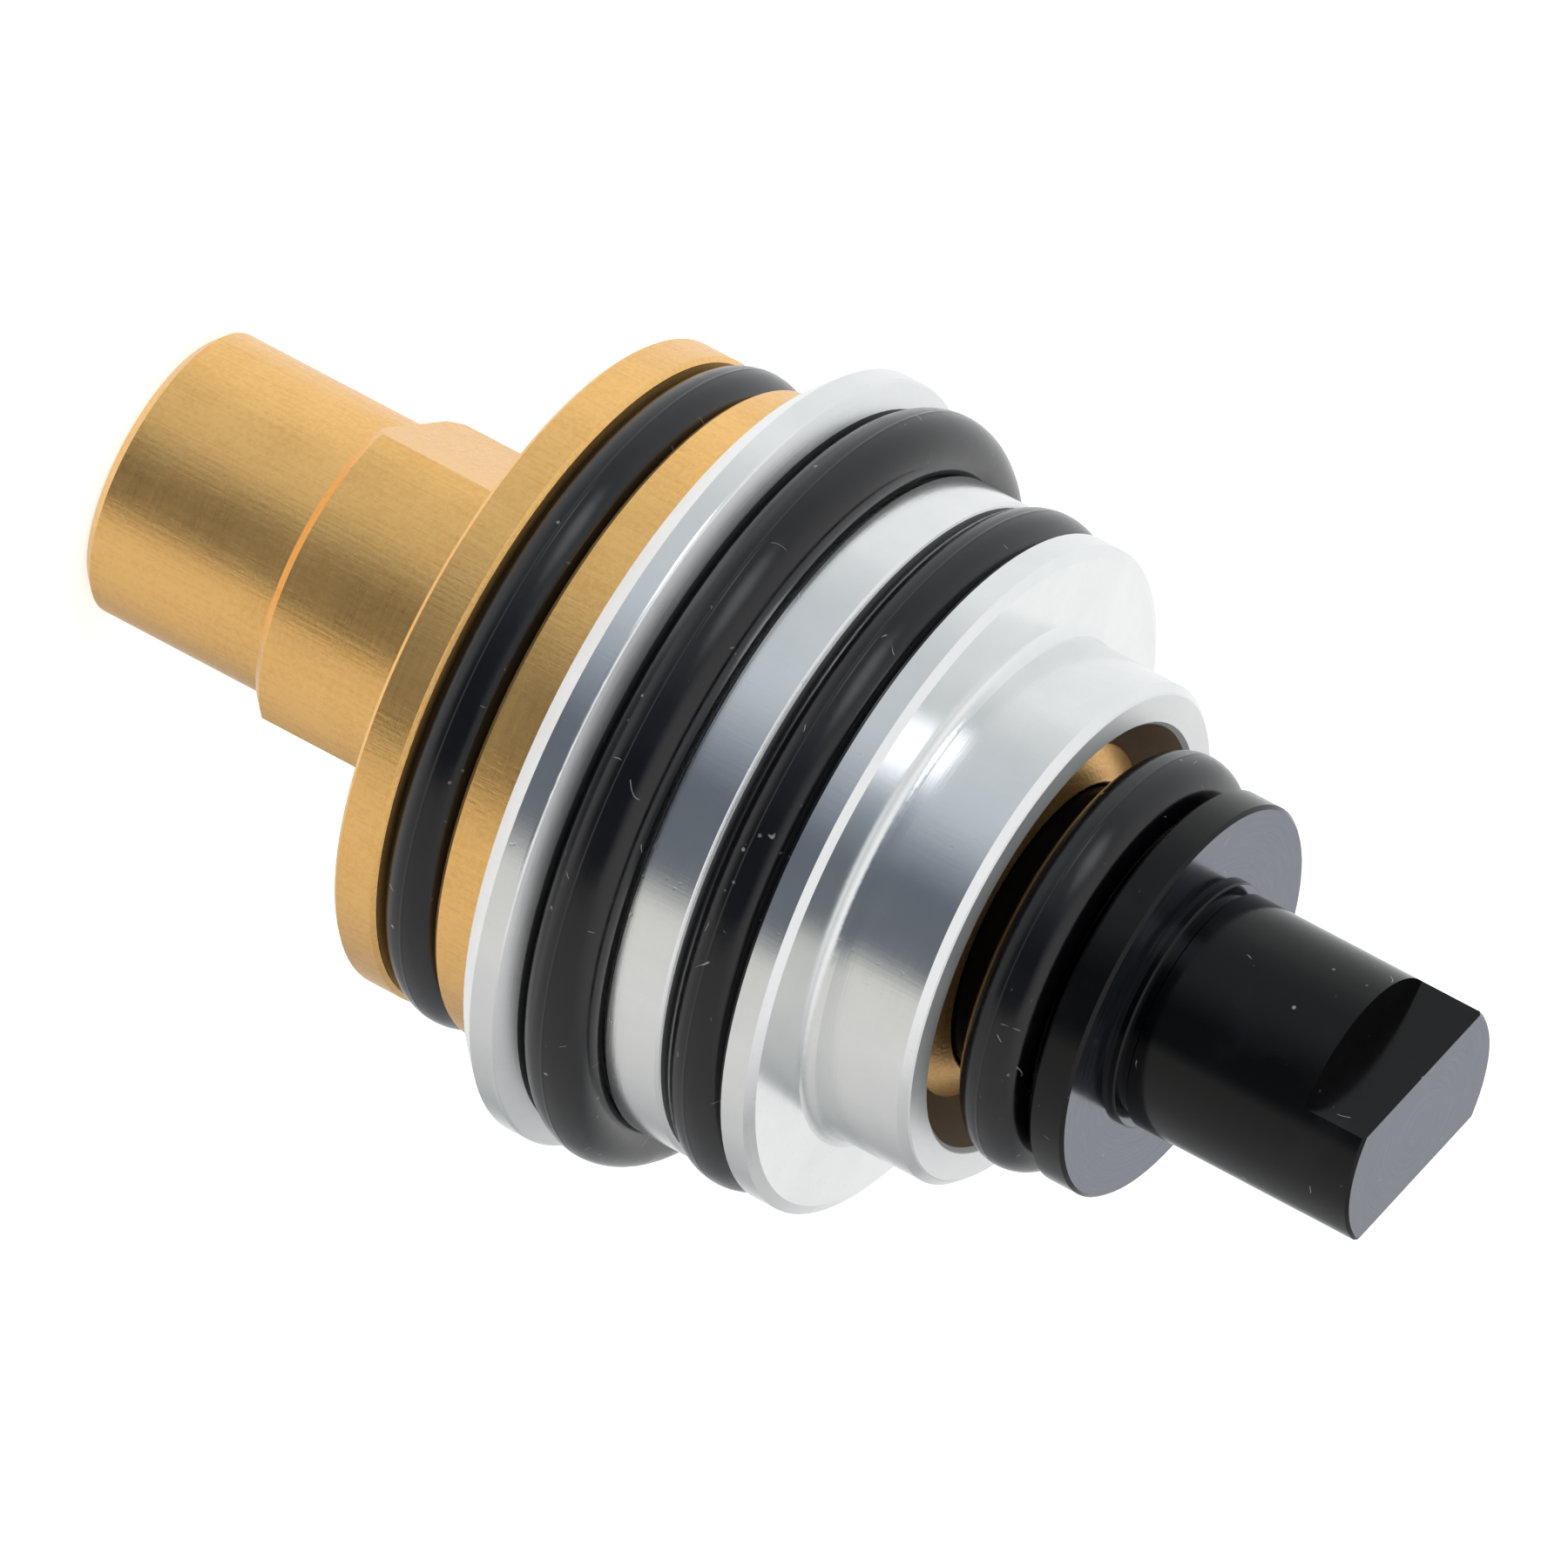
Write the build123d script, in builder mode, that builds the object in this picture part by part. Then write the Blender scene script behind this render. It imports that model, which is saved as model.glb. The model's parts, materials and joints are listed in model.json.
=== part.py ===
"""Diverter valve cartridge for a boiler's hydraulic block, as an assembly of separate pieces.

A brass body carries an aluminium sleeve and guides a black anodised stem. The stem's head carries
an O-ring that closes on the conical nose of the body when the stem is pushed in, and a spring
brings it back out. All sizes are in millimetres. The cartridge stands on the end of its tail:
the axis is Z, the origin is at the centre of the tail's end face, and the stem points up.
"""
from build123d import *
import os

# ---------------------------------------------------------------- driving dimensions
running_gap = 0.07        # radial gap between the piston and its bore
slide_gap = 0.04          # radial gap between a seal or guide and what slides in it
seat_gap = 0.03           # gap between a seal or a loose ring and the walls of its groove
close_gap = 0.02          # gap of a seal or ring that sits close to its seat
bush_gap = 0.05           # radial gap between the rod and its bush
washer_gap = 0.06         # and between the rod and the spring's washers
retainer_gap = 0.1        # and between the rod and the washer that holds its seal

# Heights along the axis, from the end of the tail
tail_top = 7.2            # step up from the tail to the wrench section
flange_bottom = 14.1      # rear face of the body's flange
flange_groove_bottom = 15.7
flange_groove_top = 18.0
sleeve_bottom = 20.1      # the sleeve seats on the body here
rim_top = 21.6            # the sleeve's rim slopes in from here
large_groove_bottom = 22.1
large_groove_top = 24.6
small_groove_bottom = 26.75
small_groove_top = 29.1
shoulder_edge = 30.1      # start of the shoulder's chamfer
shoulder_top = 30.3
neck_bottom = 30.53       # the shoulder's face is slightly conical
sleeve_top = 34.3
nose_edge = 33.0          # start of the conical seat
nose_tip = 33.62
head_groove_bottom = 34.75
head_seal_height = 36.0   # 1.5 mm of travel brings the head's O-ring onto the conical seat
disc_bottom = 37.68
disc_top = 39.0
boss_top = 39.25
undercut_top = 39.55
tip_flats_bottom = 45.7
stem_top = 48.0

# Radii of the outside
tail_radius = 5.0
wrench_radius = 6.0
wrench_flat = 5.05        # from the axis to a wrench flat, for a 10 mm spanner
rear_flange_radius = 11.5
front_flange_radius = 11.55
tube_radius = 6.25
sleeve_flange_radius = 13.6
rim_face_radius = 12.8    # inner end of the rim's slope
land_radius = 11.7
shoulder_radius = 11.85
shoulder_face_radius = 11.45
neck_radius = 8.9
disc_radius = 6.95
boss_radius = 4.35
undercut_radius = 3.9
shaft_radius = 4.15
tip_flat = 2.39           # from the axis to a flat on the stem's tip
tip_flat_angle = 38       # turn of the tip's flats from the body's wrench flats, in degrees

# Bores and the pieces inside
stem_bore = 5.1
bush_bore = 3.0
chamber_bore = 3.9
outlet_bore = 7.5
sleeve_bore = 6.3
bush_bottom = 14.6
bush_top = 17.0
outlet_floor = 29.5
piston_bottom = 24.5      # rear face of the stem's guiding piston
piston_radius = stem_bore - running_gap
rod_radius = 2.5
rod_end = 10.3
washer_thickness = 0.5
clip_thickness = 0.6

# Seals: section diameters
flange_seal = 2.25
large_seal = 2.5
small_seal = 2.3
head_seal = 2.44
piston_seal = 1.2
rod_seal = 1.3
sleeve_inner_seal = 1.2
plug_seal = 1.0

# Edges
edge_break = 0.15
wide_chamfer = 0.35
lead_in = 0.3             # chamfer where a piece enters its bore
plug_edge = 0.2
disc_edge = 0.12
fine_edge = 0.1
washer_edge = 0.08
undercut_edge = 0.06
clip_corner = 0.2
rim_chamfer = 0.7
rim_round = 0.15
neck_foot_round = 0.4
neck_end_chamfer = 0.3
same_size = 0.001         # two sizes this close are the same edge

os.makedirs("parts", exist_ok=True)


# ---------------------------------------------------------------- helpers
def turn(*outline, mode=Mode.ADD):
    """Revolve a closed outline of (radius, height) points about Z, in the part being built."""
    with BuildSketch(Plane.XZ) as section:
        with BuildLine():
            Polyline(*outline, close=True)
        make_face()
    revolve(section.sketch, axis=Axis.Z, mode=mode)


def tube(inner, outer, bottom, top, mode=Mode.ADD):
    """Revolve a plain ring between two radii and two heights."""
    turn((inner, bottom), (outer, bottom), (outer, top), (inner, top), mode=mode)


def rims(piece, *stations):
    """The circular edges of a piece at the given (radius, height) stations."""
    circles = piece.edges().filter_by(GeomType.CIRCLE)
    return [
        edge
        for edge in circles
        for radius, height in stations
        if abs(edge.radius - radius) < same_size and abs(edge.arc_center.Z - height) < same_size
    ]


def finish(piece, name):
    """Label a finished piece and write its STEP file."""
    piece.part.label = name
    export_step(piece.part, f"parts/{name}.step")


def o_ring(name, inner_radius, section, height):
    """An O-ring whose hole has the given radius, centred at a height."""
    with BuildPart() as ring:
        with BuildSketch(Plane.XZ) as wire:
            with Locations((inner_radius + section / 2, height)):
                Circle(section / 2)
        revolve(wire.sketch, axis=Axis.Z)
    finish(ring, name)


def washer(name, inner, outer, bottom, thickness=washer_thickness):
    """A flat washer with its sharp edges broken."""
    with BuildPart() as ring:
        tube(inner, outer, bottom, bottom + thickness)
        chamfer(rims(ring, (outer, bottom), (outer, bottom + thickness)), washer_edge)
    finish(ring, name)


def open_clip(name, inner, outer, bottom, mouth):
    """A flat retaining clip with a mouth on its +X side."""
    with BuildPart() as clip:
        with BuildSketch(Plane.XY.offset(bottom)) as outline:
            Circle(outer)
            Circle(inner, mode=Mode.SUBTRACT)
            with Locations((outer, 0)):
                Rectangle(2 * outer, mouth, mode=Mode.SUBTRACT)
        extrude(outline.sketch, amount=clip_thickness)
        fillet(clip.edges().filter_by(Axis.Z), clip_corner)
    finish(clip, name)


# ---------------------------------------------------------------- brass body
flange_groove_floor = 9.4
clip_groove_floor = 5.95
clip_groove_bottom = outlet_floor + seat_gap
clip_groove_top = clip_groove_bottom + clip_thickness + 2 * seat_gap

with BuildPart() as valve_body:
    turn(
        (0, 0),
        (tail_radius, 0),
        (tail_radius, tail_top),
        (wrench_radius, tail_top),
        (wrench_radius, flange_bottom),
        (rear_flange_radius, flange_bottom),
        (rear_flange_radius, flange_groove_bottom),
        (flange_groove_floor, flange_groove_bottom),
        (flange_groove_floor, flange_groove_top),
        (front_flange_radius, flange_groove_top),
        (front_flange_radius, sleeve_bottom),
        (tube_radius, sleeve_bottom),
        (tube_radius, clip_groove_bottom),
        (clip_groove_floor, clip_groove_bottom),
        (clip_groove_floor, clip_groove_top),
        (tube_radius, clip_groove_top),
        (tube_radius, nose_edge),
        (stem_bore, nose_tip),
        (0, nose_tip),
    )
    chamfer(rims(valve_body, (tail_radius, 0), (wrench_radius, tail_top)), wide_chamfer)
    chamfer(
        rims(
            valve_body,
            (rear_flange_radius, flange_bottom),
            (rear_flange_radius, flange_groove_bottom),
            (front_flange_radius, flange_groove_top),
            (front_flange_radius, sleeve_bottom),
        ),
        edge_break,
    )
    # Stepped bore: chamber for the stop, seat for the bush, and the stem's guiding bore
    tube(0, chamber_bore, 0, bush_bottom, mode=Mode.SUBTRACT)
    tube(0, bush_bore, bush_bottom, bush_top, mode=Mode.SUBTRACT)
    tube(0, stem_bore, bush_top, nose_tip, mode=Mode.SUBTRACT)
    chamfer(rims(valve_body, (chamber_bore, 0), (stem_bore, nose_tip)), fine_edge)
    # Two flats for a spanner
    flat_depth = wrench_radius
    with BuildSketch(Plane.XY.offset(tail_top)) as flats:
        with Locations(
            (wrench_flat + flat_depth / 2, 0),
            (-wrench_flat - flat_depth / 2, 0),
        ):
            Rectangle(flat_depth, 4 * wrench_radius)
    extrude(flats.sketch, amount=flange_bottom - tail_top, mode=Mode.SUBTRACT)
finish(valve_body, "valve_body")

o_ring(
    "body_o_ring",
    flange_groove_floor + seat_gap,
    flange_seal,
    (flange_groove_bottom + flange_groove_top) / 2,
)

# ---------------------------------------------------------------- aluminium sleeve
large_groove_floor = 10.8
small_groove_floor = 9.7
retaining_ring_radius = 7.2
retaining_ring_mouth = 4.0
inner_groove_floor = 7.5
inner_groove_bottom = 26.2
inner_groove_top = 27.8

with BuildPart() as outer_sleeve:
    turn(
        (sleeve_bore, sleeve_bottom),
        (sleeve_flange_radius - rim_chamfer, sleeve_bottom),
        (sleeve_flange_radius, sleeve_bottom + rim_chamfer),
        (sleeve_flange_radius, rim_top),
        (rim_face_radius, large_groove_bottom),
        (large_groove_floor, large_groove_bottom),
        (large_groove_floor, large_groove_top),
        (land_radius, large_groove_top),
        (land_radius, small_groove_bottom),
        (small_groove_floor, small_groove_bottom),
        (small_groove_floor, small_groove_top),
        (shoulder_radius, small_groove_top),
        (shoulder_radius, shoulder_edge),
        (shoulder_face_radius, shoulder_top),
        (neck_radius, neck_bottom),
        (neck_radius, sleeve_top),
        (outlet_bore, sleeve_top),
        (outlet_bore, outlet_floor),
        (sleeve_bore, outlet_floor),
    )
    tube(sleeve_bore, inner_groove_floor, inner_groove_bottom, inner_groove_top, mode=Mode.SUBTRACT)
    fillet(rims(outer_sleeve, (sleeve_flange_radius, rim_top)), rim_round)
    fillet(rims(outer_sleeve, (neck_radius, neck_bottom)), neck_foot_round)
    chamfer(rims(outer_sleeve, (neck_radius, sleeve_top)), neck_end_chamfer)
    chamfer(
        rims(
            outer_sleeve,
            (land_radius, large_groove_top),
            (land_radius, small_groove_bottom),
            (shoulder_radius, small_groove_top),
            (outlet_bore, sleeve_top),
            (sleeve_bore, sleeve_bottom),
        ),
        edge_break,
    )
finish(outer_sleeve, "outer_sleeve")

o_ring(
    "flange_o_ring",
    large_groove_floor + seat_gap,
    large_seal,
    large_groove_bottom + large_seal / 2 + close_gap,
)
o_ring(
    "sleeve_o_ring",
    small_groove_floor + seat_gap,
    small_seal,
    (small_groove_bottom + small_groove_top) / 2,
)
o_ring(
    "sleeve_inner_o_ring",
    tube_radius + close_gap,
    sleeve_inner_seal,
    (inner_groove_bottom + inner_groove_top) / 2,
)
open_clip(
    "sleeve_retaining_ring",
    inner=clip_groove_floor + seat_gap,
    outer=retaining_ring_radius,
    bottom=outlet_floor + 2 * seat_gap,
    mouth=retaining_ring_mouth,
)

# ---------------------------------------------------------------- anodised stem
rear_seal_bottom = 25.3
guide_bottom = 27.9
front_seal_bottom = 30.7
seal_groove_width = 1.6
guide_groove_width = 1.8
seal_groove_floor = 3.8
guide_groove_floor = 4.4
head_groove_floor = 4.88
clip_rod_radius = 2.0
clip_rod_bottom = 11.25
guide_split = 0.5

with BuildPart() as stem:
    turn(
        (0, rod_end),
        (rod_radius, rod_end),
        (rod_radius, piston_bottom),
        (piston_radius, piston_bottom),
        (piston_radius, head_groove_bottom),
        (head_groove_floor, head_groove_bottom),
        (head_groove_floor, disc_bottom),
        (disc_radius, disc_bottom),
        (disc_radius, disc_top),
        (boss_radius, disc_top),
        (boss_radius, boss_top),
        (undercut_radius, boss_top),
        (undercut_radius, undercut_top),
        (shaft_radius, undercut_top),
        (shaft_radius, stem_top),
        (0, stem_top),
    )
    # Grooves: the stop clip, the two piston seals and the guide ring between them
    grooves = (
        (clip_rod_radius, rod_radius, clip_rod_bottom, clip_thickness + 2 * seat_gap),
        (seal_groove_floor, piston_radius, rear_seal_bottom, seal_groove_width),
        (guide_groove_floor, piston_radius, guide_bottom, guide_groove_width),
        (seal_groove_floor, piston_radius, front_seal_bottom, seal_groove_width),
    )
    for floor, wall, bottom, width in grooves:
        tube(floor, wall, bottom, bottom + width, mode=Mode.SUBTRACT)
    chamfer(rims(stem, (rod_radius, rod_end), (piston_radius, piston_bottom)), lead_in)
    chamfer(rims(stem, (disc_radius, disc_bottom), (disc_radius, disc_top)), disc_edge)
    chamfer(rims(stem, (boss_radius, boss_top), (shaft_radius, undercut_top)), undercut_edge)
    chamfer(rims(stem, (shaft_radius, stem_top)), fine_edge)
    # Two parallel flats on the tip, for the actuator's fork
    with BuildSketch(Plane.XY.offset(tip_flats_bottom).rotated((0, 0, tip_flat_angle))) as tip:
        with Locations(
            (tip_flat + shaft_radius / 2, 0),
            (-tip_flat - shaft_radius / 2, 0),
        ):
            Rectangle(shaft_radius, 3 * shaft_radius)
    extrude(tip.sketch, amount=stem_top - tip_flats_bottom, mode=Mode.SUBTRACT)
finish(stem, "stem")

o_ring("head_o_ring", head_groove_floor + seat_gap, head_seal, head_seal_height)
guide_radius = stem_bore - slide_gap
piston_seal_hole = guide_radius - piston_seal
o_ring("rear_piston_o_ring", piston_seal_hole, piston_seal, rear_seal_bottom + seal_groove_width / 2)
o_ring("front_piston_o_ring", piston_seal_hole, piston_seal, front_seal_bottom + seal_groove_width / 2)

with BuildPart() as guide_ring:
    tube(
        guide_groove_floor + seat_gap,
        guide_radius,
        guide_bottom + seat_gap,
        guide_bottom + guide_groove_width - seat_gap,
    )
    # The ring is split so that it can be opened over the piston
    with BuildSketch(Plane.XY.offset(guide_bottom)) as split_line:
        with Locations((stem_bore, 0)):
            Rectangle(2 * stem_bore, guide_split)
    extrude(split_line.sketch, amount=guide_groove_width, mode=Mode.SUBTRACT)
finish(guide_ring, "piston_guide_ring")

# ---------------------------------------------------------------- return spring and its washers
spring_wire = 0.7
spring_radius = 4.4       # to the middle of the wire
spring_turns = 5
washer_hole = rod_radius + washer_gap
washer_radius = 4.9
spring_bottom = bush_top + washer_thickness
spring_top = piston_bottom - seat_gap - washer_thickness
coil_height = spring_top - spring_bottom - spring_wire - 2 * seat_gap

washer("spring_seat_washer", washer_hole, washer_radius, bush_top)
washer("spring_thrust_washer", washer_hole, washer_radius, spring_top)

with BuildPart() as return_spring:
    with BuildLine() as coil:
        Helix(
            pitch=coil_height / spring_turns,
            height=coil_height,
            radius=spring_radius,
            center=(0, 0, spring_bottom + spring_wire / 2 + seat_gap),
        )
    with BuildSketch(Plane(origin=coil.line @ 0, z_dir=coil.line % 0)) as wire_section:
        Circle(spring_wire / 2)
    sweep(wire_section.sketch, path=coil.line, is_frenet=True)
finish(return_spring, "return_spring")

# ---------------------------------------------------------------- rod bush, rod seal and stop
bush_hole = rod_radius + bush_gap
with BuildPart() as rod_bush:
    tube(bush_hole, bush_bore, bush_bottom, bush_top)
    chamfer(rims(rod_bush, (bush_hole, bush_bottom), (bush_hole, bush_top)), edge_break)
finish(rod_bush, "rod_bush")

rod_seal_height = bush_bottom - rod_seal / 2 - seat_gap
o_ring("rod_o_ring", rod_radius + slide_gap, rod_seal, rod_seal_height)

retainer_top = rod_seal_height - rod_seal / 2 - seat_gap
retainer_thickness = 0.65
retainer_bottom = retainer_top - retainer_thickness
retainer_hole = rod_radius + retainer_gap
washer("rod_seal_retainer", retainer_hole, chamber_bore, retainer_bottom, retainer_thickness)

stop_washer_radius = 3.6
stop_clip_radius = 3.55
stop_clip_mouth = 3.0
stop_washer_bottom = clip_rod_bottom + clip_thickness + 2 * seat_gap
washer(
    "stop_washer",
    rod_radius + seat_gap,
    stop_washer_radius,
    stop_washer_bottom,
    thickness=retainer_bottom - stop_washer_bottom - close_gap,
)
open_clip(
    "stop_clip",
    inner=clip_rod_radius + close_gap,
    outer=stop_clip_radius,
    bottom=clip_rod_bottom + seat_gap,
    mouth=stop_clip_mouth,
)

# ---------------------------------------------------------------- plug in the end of the tail
plug_bottom = 0.5
plug_groove_bottom = 3.2
plug_groove_top = 4.4
plug_top = 5.0
plug_groove_floor = 2.85
socket_size = 4.0         # across the flats of the hexagon socket
socket_depth = 2.2

with BuildPart() as tail_plug:
    turn(
        (0, plug_bottom),
        (chamber_bore, plug_bottom),
        (chamber_bore, plug_groove_bottom),
        (plug_groove_floor, plug_groove_bottom),
        (plug_groove_floor, plug_groove_top),
        (chamber_bore, plug_groove_top),
        (chamber_bore, plug_top),
        (0, plug_top),
    )
    chamfer(rims(tail_plug, (chamber_bore, plug_bottom), (chamber_bore, plug_top)), plug_edge)
    with BuildSketch(Plane.XY.offset(plug_bottom)) as socket:
        RegularPolygon(socket_size / 2, 6, major_radius=False)
    extrude(socket.sketch, amount=socket_depth, mode=Mode.SUBTRACT)
finish(tail_plug, "tail_plug")

o_ring(
    "tail_plug_o_ring",
    plug_groove_floor + close_gap,
    plug_seal,
    (plug_groove_bottom + plug_groove_top) / 2,
)
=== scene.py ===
"""Looks for the diverter valve cartridge: camera, studio and a material for every piece."""
import json
import math

import bpy
from mathutils import Matrix, Vector


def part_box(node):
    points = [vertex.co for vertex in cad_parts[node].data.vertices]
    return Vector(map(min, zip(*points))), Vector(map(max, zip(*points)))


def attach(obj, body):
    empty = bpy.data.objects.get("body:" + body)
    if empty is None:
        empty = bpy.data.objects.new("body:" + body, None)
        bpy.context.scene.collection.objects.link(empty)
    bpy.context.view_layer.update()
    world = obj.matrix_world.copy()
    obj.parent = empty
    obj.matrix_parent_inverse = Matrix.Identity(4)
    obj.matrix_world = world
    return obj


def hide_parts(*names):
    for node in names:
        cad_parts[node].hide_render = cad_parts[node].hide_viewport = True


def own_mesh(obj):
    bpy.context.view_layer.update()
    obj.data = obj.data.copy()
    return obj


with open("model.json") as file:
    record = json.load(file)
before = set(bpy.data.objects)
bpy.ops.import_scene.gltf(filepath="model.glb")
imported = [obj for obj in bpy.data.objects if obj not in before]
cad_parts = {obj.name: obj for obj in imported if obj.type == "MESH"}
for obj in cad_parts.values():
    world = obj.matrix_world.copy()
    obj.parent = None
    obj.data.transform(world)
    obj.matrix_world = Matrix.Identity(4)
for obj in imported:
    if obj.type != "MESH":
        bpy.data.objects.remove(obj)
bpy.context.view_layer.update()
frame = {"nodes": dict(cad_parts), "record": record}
NODES = frame["nodes"]
MM = 0.001

# ---------------------------------------------------------------- camera
VIEW_AZIMUTH = -13.5      # degrees from looking along +Y
VIEW_ELEVATION = 20.2
AXIS_TILT = -27.77        # slope of the valve's axis in the picture, in degrees
VIEW_WIDTH = 50 * MM
VIEW_DISTANCE = 2.0
TARGET = Vector((0.03, 1.15, 23.17)) * MM
SENSOR_WIDTH = 36

up = Vector((0, 0, 1))


def direction(azimuth, elevation):
    """Unit vector from the object towards a viewer or light, with angles in degrees."""
    a = math.radians(azimuth)
    e = math.radians(elevation)
    return Vector((math.sin(a) * math.cos(e), -math.cos(a) * math.cos(e), math.sin(e)))


def make_camera():
    """A long lens at the photograph's angle, rolled so that the valve lies down to the right."""
    back = direction(VIEW_AZIMUTH, VIEW_ELEVATION)
    level_up = (up - back * up.dot(back)).normalized()
    level_right = level_up.cross(back)
    tilt = math.radians(AXIS_TILT)
    right = level_up * math.cos(tilt) + level_right * math.sin(tilt)
    above = level_up * math.sin(tilt) - level_right * math.cos(tilt)
    data = bpy.data.cameras.new("camera")
    data.sensor_width = SENSOR_WIDTH
    data.lens = SENSOR_WIDTH * VIEW_DISTANCE / VIEW_WIDTH
    data.clip_start = 0.01
    data.clip_end = 10
    camera = bpy.data.objects.new("camera", data)
    turned = Matrix((right, above, back)).transposed().to_4x4()
    camera.matrix_world = Matrix.Translation(TARGET + back * VIEW_DISTANCE) @ turned
    bpy.context.scene.collection.objects.link(camera)
    bpy.context.scene.camera = camera


# ---------------------------------------------------------------- node helpers
class Nodes:
    """Short calls for wiring a node tree."""

    def __init__(self, tree):
        self.tree = tree

    def add(self, kind, **settings):
        """A new node, with its own settings."""
        node = self.tree.nodes.new(kind)
        for name, value in settings.items():
            setattr(node, name, value)
        return node

    def put(self, value, socket):
        """Feed a socket from another socket or with a plain value."""
        if isinstance(value, bpy.types.NodeSocket):
            self.tree.links.new(value, socket)
        else:
            socket.default_value = value

    def math(self, operation, a, b=0.0):
        """A math node's result."""
        node = self.add("ShaderNodeMath", operation=operation)
        self.put(a, node.inputs[0])
        self.put(b, node.inputs[1])
        return node.outputs[0]

    def product(self, *values):
        """Several values multiplied together."""
        result = values[0]
        for value in values[1:]:
            result = self.math("MULTIPLY", result, value)
        return result

    def off(self, value, middle):
        """How far a value is from a middle, either way."""
        return self.math("ABSOLUTE", self.math("SUBTRACT", value, middle))

    def dot(self, vector, other):
        """The dot product of a vector and a fixed one."""
        node = self.add("ShaderNodeVectorMath", operation="DOT_PRODUCT")
        self.put(vector, node.inputs[0])
        self.put(other, node.inputs[1])
        return node.outputs["Value"]

    def split(self, vector):
        """A vector's three values."""
        node = self.add("ShaderNodeSeparateXYZ")
        self.put(vector, node.inputs[0])
        return node.outputs

    def combine(self, x, y, z):
        """A vector from three values."""
        node = self.add("ShaderNodeCombineXYZ")
        for value, socket in zip((x, y, z), node.inputs):
            self.put(value, socket)
        return node.outputs[0]

    def noise(self, vector, size, detail=3.0, roughness=0.6):
        """A noise value from 0 to 1, with features of about the given size."""
        node = self.add("ShaderNodeTexNoise")
        self.put(vector, node.inputs["Vector"])
        node.inputs["Scale"].default_value = 1 / size
        node.inputs["Detail"].default_value = detail
        node.inputs["Roughness"].default_value = roughness
        return node.outputs["Fac"]

    def spread(self, value, low, high, to_low, to_high):
        """A value mapped from one range to another, held at the ends."""
        node = self.add("ShaderNodeMapRange")
        for amount, socket in zip((value, low, high, to_low, to_high), node.inputs):
            self.put(amount, socket)
        return node.outputs[0]

    def blend(self, factor, first, second):
        """Two colours mixed by a factor."""
        node = self.add("ShaderNodeMix", data_type="RGBA")
        self.put(factor, node.inputs[0])
        self.put(first, node.inputs[6])
        self.put(second, node.inputs[7])
        return node.outputs[2]

    def bump(self, height, distance, strength=1.0, below=None):
        """A bumped normal, on top of another one if there is one."""
        node = self.add("ShaderNodeBump")
        node.inputs["Strength"].default_value = strength
        node.inputs["Distance"].default_value = distance
        self.put(height, node.inputs["Height"])
        if below is not None:
            self.put(below, node.inputs["Normal"])
        return node.outputs["Normal"]


def colour(red, green, blue):
    """An opaque colour."""
    return (red, green, blue, 1.0)


def new_material(name):
    """A material's wiring helper, its shader's inputs and the object's own coordinates."""
    material = bpy.data.materials.new(name)
    material.use_nodes = True
    nodes = Nodes(material.node_tree)
    shader = material.node_tree.nodes["Principled BSDF"].inputs
    place = nodes.add("ShaderNodeTexCoord").outputs["Object"]
    return material, nodes, shader, place


NOISE_SPAN = (0.3, 0.7)   # where most of a noise's values lie
LINE_DRIFT = 0.02         # how fast a tool line wanders as it goes round, against across


def radius_of(nodes, place):
    """Distance from the valve's axis, in metres."""
    x, y, _ = nodes.split(place)
    return nodes.math("SQRT", nodes.math("ADD", nodes.product(x, x), nodes.product(y, y)))


def turned_lines(nodes, place, pitch):
    """Fine tool lines that run round the axis, on cylinders and on flat faces alike."""
    x, y, z = nodes.split(place)
    lines = nodes.combine(
        nodes.product(radius_of(nodes, place), 1 / pitch),
        nodes.product(z, 1 / pitch),
        nodes.product(nodes.math("ADD", x, y), LINE_DRIFT / pitch),
    )
    return nodes.noise(lines, 1.0, detail=2.0)


def axial_lines(nodes, place, pitch, length):
    """Fine brush marks that run along the axis."""
    x, y, z = nodes.split(place)
    lines = nodes.combine(
        nodes.product(x, 1 / pitch),
        nodes.product(y, 1 / pitch),
        nodes.product(z, 1 / length),
    )
    return nodes.noise(lines, 1.0)


# ---------------------------------------------------------------- dust and lint
LINT = colour(0.3, 0.3, 0.31)
LINT_COVER = 0.75
SPECK_SPACING = 0.7 * MM
SPECK_EDGE = (0.06, 0.12)         # a speck's solid middle and soft edge, in spacings
SPECK_PATCH_SIZE = 1.25 * MM
SPECK_PATCH_LEVEL = (0.54, 0.62)  # specks lie only where this noise is high
FIBRE_BEND_SIZE = 2 * MM
FIBRE_WIDTH = (0.002, 0.005)      # a fibre runs where its noise is this near to half
FIBRE_LENGTH = 0.9 * MM
FIBRE_LEVEL = (0.66, 0.7)         # and shows only where a second noise is high


def lint_mask(nodes, place):
    """Sparse specks of dust and short fibres, from 0 off them to LINT_COVER on them."""
    cells = nodes.add("ShaderNodeTexVoronoi", feature="F1")
    nodes.put(place, cells.inputs["Vector"])
    cells.inputs["Scale"].default_value = 1 / SPECK_SPACING
    near = nodes.spread(cells.outputs["Distance"], *SPECK_EDGE, 1.0, 0.0)
    patches = nodes.spread(nodes.noise(place, SPECK_PATCH_SIZE), *SPECK_PATCH_LEVEL, 0.0, 1.0)
    specks = nodes.product(near, patches)
    bend = nodes.noise(place, FIBRE_BEND_SIZE, detail=1.0)
    thread = nodes.spread(nodes.off(bend, 0.5), *FIBRE_WIDTH, 1.0, 0.0)
    lengths = nodes.spread(nodes.noise(place, FIBRE_LENGTH, detail=1.0), *FIBRE_LEVEL, 0.0, 1.0)
    fibres = nodes.product(thread, lengths)
    return nodes.product(nodes.math("MAXIMUM", specks, fibres), LINT_COVER)


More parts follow.
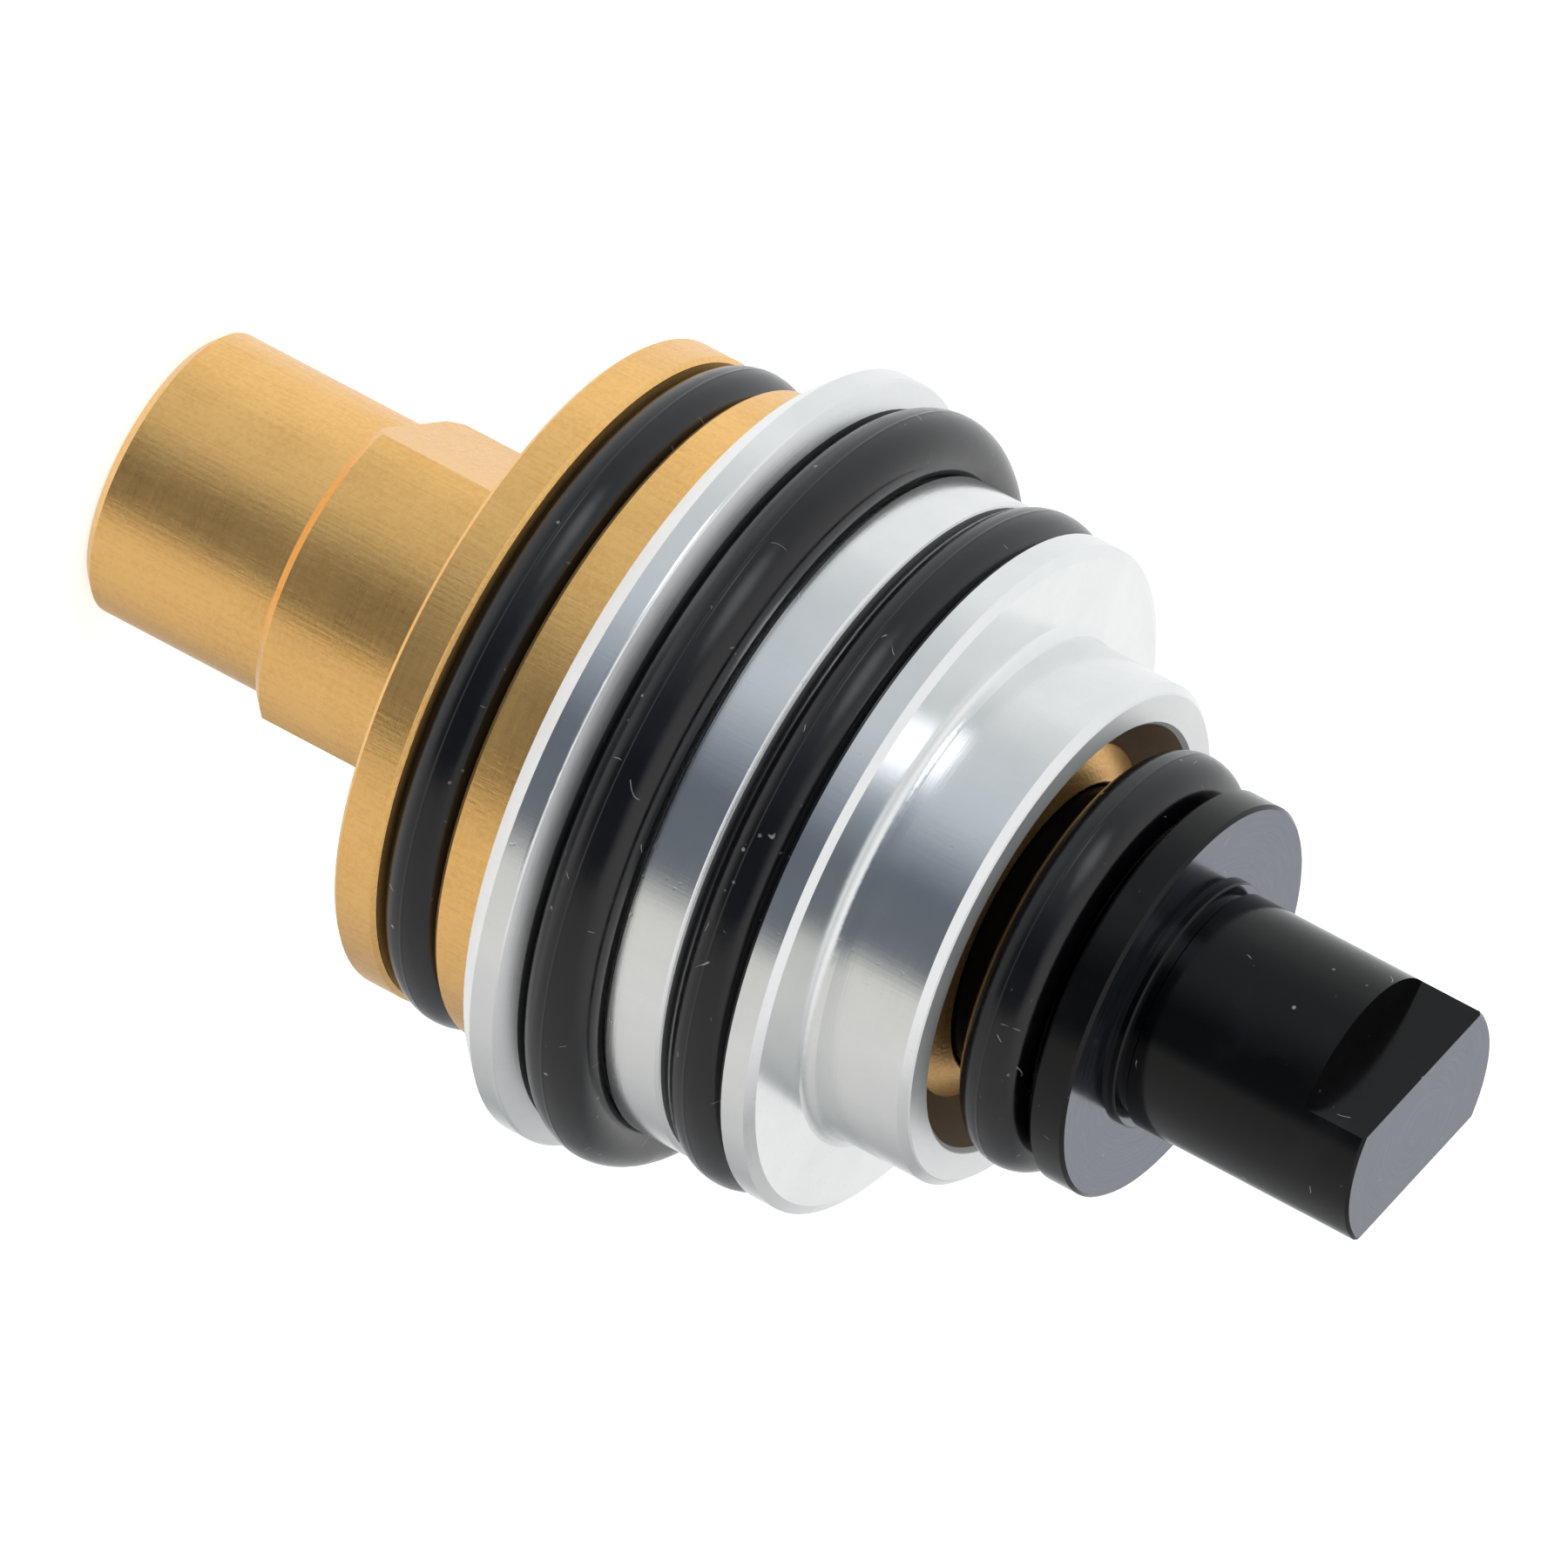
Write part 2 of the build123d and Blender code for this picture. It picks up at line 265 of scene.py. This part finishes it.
# ---------------------------------------------------------------- metals
BRUSH_PITCH = 0.12 * MM
BRUSH_LENGTH = 2.2 * MM
METAL_STAIN_SIZE = 3.85 * MM
METAL_GRAIN_SIZE = 0.17 * MM
DING_SIZE = 0.38 * MM
DING_DEPTH = 0.004 * MM
DING_LEVEL = (0.68, 0.75)         # a ding lies where its noise is high
ROUGHNESS_RANGE = (0.75, 1.3)     # how the roughness varies over a surface

# Satin zones: radius, bottom and top in mm, then the roughness added and the mirror lost
BRASS_ZONES = (
    (6.2, 32.9, 34.0, 0.05, 0.0),     # the conical nose
    (11.3, 15.6, 18.1, 0.2, 0.2),     # the groove in the flange
)
SLEEVE_ZONES = (
    (13.7, 20.0, 20.81, 0.3, 0.5),    # the chamfer behind the rim
    (13.7, 21.65, 22.12, 0.2, 0.05),  # the slope in front of its crown
    (12.75, 22.12, 24.7, 0.25, 0.2),  # the groove above it
    (11.6, 26.6, 29.2, 0.3, 0.25),    # the second groove
    (7.6, 29.0, 34.4, 0.35, 0.7),     # the mouth
    (8.65, 34.2, 34.4, 0.3, 0.1),     # and the end face round it
)

METALS = {
    "brass": dict(
        light=colour(1.0, 0.605, 0.215),
        dark=colour(0.68, 0.35, 0.09),
        mirror=0.93,
        roughness=0.3,
        line_pitch=0.07 * MM,
        line_depth=0.008 * MM,
        brushed=1.0,
        satin_zones=BRASS_ZONES,
    ),
    "sleeve_aluminium": dict(
        light=colour(0.88, 0.89, 0.88),
        dark=colour(0.79, 0.81, 0.82),
        mirror=1.0,
        roughness=0.17,
        line_pitch=0.06 * MM,
        line_depth=0.004 * MM,
        brushed=0.15,
        satin_zones=SLEEVE_ZONES,
    ),
    "spring_steel": dict(
        light=colour(0.6, 0.6, 0.6),
        dark=colour(0.42, 0.42, 0.44),
        mirror=1.0,
        roughness=0.22,
        line_pitch=0.08 * MM,
        line_depth=0.002 * MM,
        brushed=0.0,
        satin_zones=(),
    ),
}


def turned_metal(name, light, dark, mirror, roughness, line_pitch, line_depth, brushed, satin_zones):
    """Turned metal: tool lines round the axis, faint brush marks, small stains and dings.

    A satin zone lies inside a radius and between two heights; it adds some roughness and takes
    away some of the metal's mirror.
    """
    material, nodes, shader, place = new_material(name)
    lines = turned_lines(nodes, place, line_pitch)
    marks = axial_lines(nodes, place, BRUSH_PITCH, BRUSH_LENGTH)
    stains = nodes.noise(place, METAL_STAIN_SIZE, detail=4.0)
    pits = nodes.noise(place, DING_SIZE, detail=2.0)
    grain = nodes.noise(place, METAL_GRAIN_SIZE, detail=2.0)
    streaks = nodes.product(nodes.math("ADD", marks, grain), brushed)
    tone = nodes.spread(nodes.math("ADD", stains, streaks), 0.35, 0.65 + brushed, 0.0, 1.0)
    nodes.put(nodes.blend(tone, dark, light), shader["Base Color"])
    uneven = nodes.product(nodes.math("ADD", stains, lines), 0.5)
    smoothest, roughest = (roughness * part for part in ROUGHNESS_RANGE)
    gloss = nodes.spread(uneven, *NOISE_SPAN, smoothest, roughest)
    radius = radius_of(nodes, place)
    height = nodes.split(place)["Z"]
    for zone_radius, bottom, top, added_roughness, lost_mirror in satin_zones:
        inside = nodes.math("LESS_THAN", radius, zone_radius * MM)
        above = nodes.math("GREATER_THAN", height, bottom * MM)
        below = nodes.math("LESS_THAN", height, top * MM)
        satin = nodes.product(inside, above, below)
        gloss = nodes.math("ADD", gloss, nodes.product(satin, added_roughness))
        mirror = nodes.math("SUBTRACT", mirror, nodes.product(satin, lost_mirror))
    nodes.put(mirror, shader["Metallic"])
    nodes.put(gloss, shader["Roughness"])
    tooled = nodes.bump(lines, line_depth, 0.5)
    grained = nodes.bump(grain, line_depth, brushed, below=tooled)
    brushing = nodes.bump(marks, line_depth, 0.2 + brushed, below=grained)
    dings = nodes.spread(pits, *DING_LEVEL, 0.0, -1.0)
    nodes.put(nodes.bump(dings, DING_DEPTH, 0.5, below=brushing), shader["Normal"])
    return material


# ---------------------------------------------------------------- black pieces and plastic
TIP_FACE = 47 * MM                # above this the end face gets a painted pale reflection
DISC_FACE = 40 * MM               # and below this the disc's face gets one too
FACING_UP = (0.9, 0.98)           # an end face's normal, as its Z
TOOL_LINES_SHOW = (0.85, 1.0)     # how the painted reflection varies from line to line
RUBBED_LEVEL = (0.55, 0.8)        # the sides are rubbed where the stains are strong
DEEP_BLACK = colour(0.0012, 0.0012, 0.0015)
RUBBED_BLACK = colour(0.005, 0.005, 0.006)
# the painted reflection's blue-grey tint for the upward-facing end faces
PAINTED_REFLECTION_GREY = colour(0.15, 0.16, 0.195)
ANODISED_LINE_PITCH = 0.05 * MM
ANODISED_LINE_DEPTH = 0.0005 * MM
ANODISED_STAIN_SIZE = 2.4 * MM
ANODISED_ROUGHNESS = (0.09, 0.2)
ANODISED_SPECULAR = 0.27

DARK_RUBBER = colour(0.0015, 0.0015, 0.002)
PALE_RUBBER = colour(0.004, 0.004, 0.006)
PARTING_HALF_WIDTH = (0.02 * MM, 0.07 * MM)
PARTING_HEIGHT = 0.02 * MM
SKIN_SIZE = 0.19 * MM
SKIN_DEPTH = 0.001 * MM
WAVE_SIZE = 1.4 * MM
WAVE_DEPTH = 0.03 * MM
RUBBER_ROUGHNESS = (0.13, 0.24)
RUBBER_SPECULAR = 0.5

DARK_PLASTIC = colour(0.62, 0.58, 0.48)
PALE_PLASTIC = colour(0.8, 0.77, 0.68)
PLASTIC_GRAIN_SIZE = 0.33 * MM
PLASTIC_GRAIN_DEPTH = 0.004 * MM
PLASTIC_ROUGHNESS = (0.4, 0.6)


def black_anodised():
    """Glossy black anodising over turned aluminium, with two upward-facing end faces lightened by a
    painted blue-grey reflection.
    """
    material, nodes, shader, place = new_material("black_anodised")
    lines = turned_lines(nodes, place, ANODISED_LINE_PITCH)
    stains = nodes.noise(place, ANODISED_STAIN_SIZE, detail=5.0)
    rubbed = nodes.spread(stains, *RUBBED_LEVEL, 0.0, 1.0)
    facing_up = nodes.split(nodes.add("ShaderNodeNewGeometry").outputs["True Normal"])["Z"]
    end_face = nodes.spread(facing_up, *FACING_UP, 0.0, 1.0)
    height = nodes.split(place)["Z"]
    at_tip = nodes.math("GREATER_THAN", height, TIP_FACE)
    at_disc = nodes.math("LESS_THAN", height, DISC_FACE)
    uneven = nodes.spread(lines, *NOISE_SPAN, *TOOL_LINES_SHOW)
    # painted reflection: the end faces facing up at the tip and at the disc, broken up by the tool lines
    painted_reflection = nodes.product(end_face, nodes.math("MAXIMUM", at_tip, at_disc), uneven)
    black = nodes.blend(rubbed, DEEP_BLACK, RUBBED_BLACK)
    # painted reflection: a blue-grey tint laid over the black on those faces
    tinted = nodes.blend(painted_reflection, black, PAINTED_REFLECTION_GREY)
    nodes.put(nodes.blend(lint_mask(nodes, place), tinted, LINT), shader["Base Color"])
    # the painted reflection mask also makes those faces metallic
    nodes.put(painted_reflection, shader["Metallic"])
    shader["Specular IOR Level"].default_value = ANODISED_SPECULAR
    nodes.put(nodes.spread(stains, 0.3, 0.75, *ANODISED_ROUGHNESS), shader["Roughness"])
    nodes.put(nodes.bump(lines, ANODISED_LINE_DEPTH, 0.4), shader["Normal"])
    return material


def seal_rubber(ring):
    """Moulded black rubber: a fine skin, a parting line round the ring, a little dust and lint."""
    material, nodes, shader, place = new_material(f"seal_rubber_{ring}")
    low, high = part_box(ring)
    middle = (low[2] + high[2]) / 2
    off_middle = nodes.off(nodes.split(place)["Z"], middle)
    parting_line = nodes.spread(off_middle, *PARTING_HALF_WIDTH, 1.0, 0.0)
    skin = nodes.noise(place, SKIN_SIZE, detail=4.0)
    waves = nodes.noise(place, WAVE_SIZE)
    black = nodes.blend(waves, DARK_RUBBER, PALE_RUBBER)
    nodes.put(nodes.blend(lint_mask(nodes, place), black, LINT), shader["Base Color"])
    nodes.put(nodes.spread(waves, *NOISE_SPAN, *RUBBER_ROUGHNESS), shader["Roughness"])
    shader["Specular IOR Level"].default_value = RUBBER_SPECULAR
    moulded = nodes.bump(skin, SKIN_DEPTH, 0.3)
    waved = nodes.bump(waves, WAVE_DEPTH, 0.3, below=moulded)
    nodes.put(nodes.bump(parting_line, PARTING_HEIGHT, 0.5, below=waved), shader["Normal"])
    return material


def guide_plastic():
    """Pale filled plastic with a fine grain."""
    material, nodes, shader, place = new_material("guide_plastic")
    grain = nodes.noise(place, PLASTIC_GRAIN_SIZE, detail=4.0)
    nodes.put(nodes.blend(grain, DARK_PLASTIC, PALE_PLASTIC), shader["Base Color"])
    nodes.put(nodes.spread(grain, *NOISE_SPAN, *PLASTIC_ROUGHNESS), shader["Roughness"])
    nodes.put(nodes.bump(grain, PLASTIC_GRAIN_DEPTH, 0.4), shader["Normal"])
    return material


def give_materials():
    """Each CAD node gets the material of its slot in the record."""
    finishes = {name: turned_metal(name, **look) for name, look in METALS.items()}
    finishes["black_anodised"] = black_anodised()
    finishes["guide_plastic"] = guide_plastic()
    for entry in frame["record"]["subparts"]:
        mesh = NODES[entry["node"]].data
        mesh.materials.clear()
        slot = entry["material_slot"]
        mesh.materials.append(seal_rubber(entry["node"]) if slot == "seal_rubber" else finishes[slot])


# ---------------------------------------------------------------- return spring
def make_spring():
    """The return spring again, as its own copy of the mesh on the valve body, with the CAD original
    hidden.
    """
    spring = bpy.data.objects.new("shortening_spring", NODES["return_spring"].data.copy())
    bpy.context.scene.collection.objects.link(spring)
    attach(spring, "valve")
    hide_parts("return_spring")
    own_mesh(spring)


# ---------------------------------------------------------------- studio
FLOOR_SIZE = 6.0
FLOOR_TONES = (colour(0.9, 0.9, 0.9), colour(0.93, 0.93, 0.93))
FLOOR_TONE_SIZE = 0.125
FLOOR_GLOW = 0.6
KEY_SIDE = VIEW_AZIMUTH - 90     # the side that is the top of the picture

# The light round the object: angle from the viewer's side towards the key side, then its colour
SURROUNDINGS = (
    (-180, (1.0, 1.0, 1.0)),
    (-150, (0.42, 0.43, 0.44)),
    (-120, (0.60, 0.60, 0.60)),
    (-85, (0.74, 0.73, 0.72)),
    (-54, (0.70, 0.69, 0.66)),
    (-42, (0.15, 0.165, 0.19)),
    (-12, (0.13, 0.145, 0.175)),
    (8, (0.29, 0.33, 0.38)),
    (26, (0.58, 0.62, 0.66)),
    (62, (0.62, 0.65, 0.67)),
    (88, (0.88, 0.89, 0.90)),
    (150, (0.95, 0.96, 0.97)),
    (180, (1.0, 1.0, 1.0)),
)
OVERHEAD = colour(0.95, 0.95, 0.96)
OVERHEAD_LEVEL = (0.6, 0.85)     # the overhead light takes over between these, as a ray's Z
DRAPE = 0.16                     # how far the edges of the light wander, in radians
DRAPE_SIZE = 0.45
WINDOW_TURN = math.radians(45)   # a tall softbox, this far from the viewer's side
WINDOW_LEVEL = 0.34              # and centred at this height, as a ray's Z
WINDOW_SIDES = (0.08, 0.32)      # its solid half width and its soft edge, in radians
WINDOW_ENDS = (0.12, 0.36)       # and the same for its height, as a ray's Z
WINDOW_LIGHT = colour(2.2, 2.22, 2.35)


def make_floor():
    """A pale, matt floor that glossy surfaces don't pick up."""
    half = FLOOR_SIZE / 2
    mesh = bpy.data.meshes.new("floor")
    points = [(-half, -half, 0), (half, -half, 0), (half, half, 0), (-half, half, 0)]
    mesh.from_pydata(points, [], [(0, 1, 2, 3)])
    floor = bpy.data.objects.new("floor", mesh)
    bpy.context.scene.collection.objects.link(floor)
    material, nodes, shader, place = new_material("floor")
    tone = nodes.noise(place, FLOOR_TONE_SIZE)
    nodes.put(nodes.blend(tone, *FLOOR_TONES), shader["Base Color"])
    shader["Roughness"].default_value = 0.9
    shader["Emission Color"].default_value = colour(1, 1, 1)
    shader["Emission Strength"].default_value = FLOOR_GLOW
    mesh.materials.append(material)
    floor.visible_glossy = False


def make_world():
    """Soft studio surroundings: bright on the key side, paler opposite, and a dark gap by the viewer."""
    world = bpy.data.worlds.new("studio")
    world.use_nodes = True
    bpy.context.scene.world = world
    nodes = Nodes(world.node_tree)
    ray = nodes.add("ShaderNodeTexCoord").outputs["Generated"]
    to_key = nodes.dot(ray, direction(KEY_SIDE, 0))
    to_viewer = nodes.dot(ray, direction(VIEW_AZIMUTH, 0))
    drape = nodes.spread(nodes.noise(ray, DRAPE_SIZE, detail=1.0), 0.0, 1.0, -DRAPE, DRAPE)
    angle = nodes.math("ADD", nodes.math("ARCTAN2", to_key, to_viewer), drape)
    ramp = nodes.add("ShaderNodeValToRGB")
    nodes.put(nodes.spread(angle, -math.pi, math.pi, 0.0, 1.0), ramp.inputs["Fac"])
    stops = ramp.color_ramp.elements
    while len(stops) < len(SURROUNDINGS):
        stops.new(0.5)
    for stop, (degrees, light) in zip(stops, SURROUNDINGS):
        stop.position = degrees / 360 + 0.5
        stop.color = colour(*light)
    level = nodes.split(ray)["Z"]
    steep = nodes.spread(nodes.math("ABSOLUTE", level), *OVERHEAD_LEVEL, 0.0, 1.0)
    surroundings = nodes.blend(steep, ramp.outputs["Color"], OVERHEAD)
    across = nodes.spread(nodes.off(angle, WINDOW_TURN), *WINDOW_SIDES, 1.0, 0.0)
    upright = nodes.spread(nodes.off(level, WINDOW_LEVEL), *WINDOW_ENDS, 1.0, 0.0)
    lit = nodes.blend(nodes.product(across, upright), surroundings, WINDOW_LIGHT)
    nodes.put(lit, world.node_tree.nodes["Background"].inputs["Color"])


bpy.context.scene.view_settings.view_transform = "Standard"
make_camera()
make_floor()
make_world()
give_materials()
make_spring()
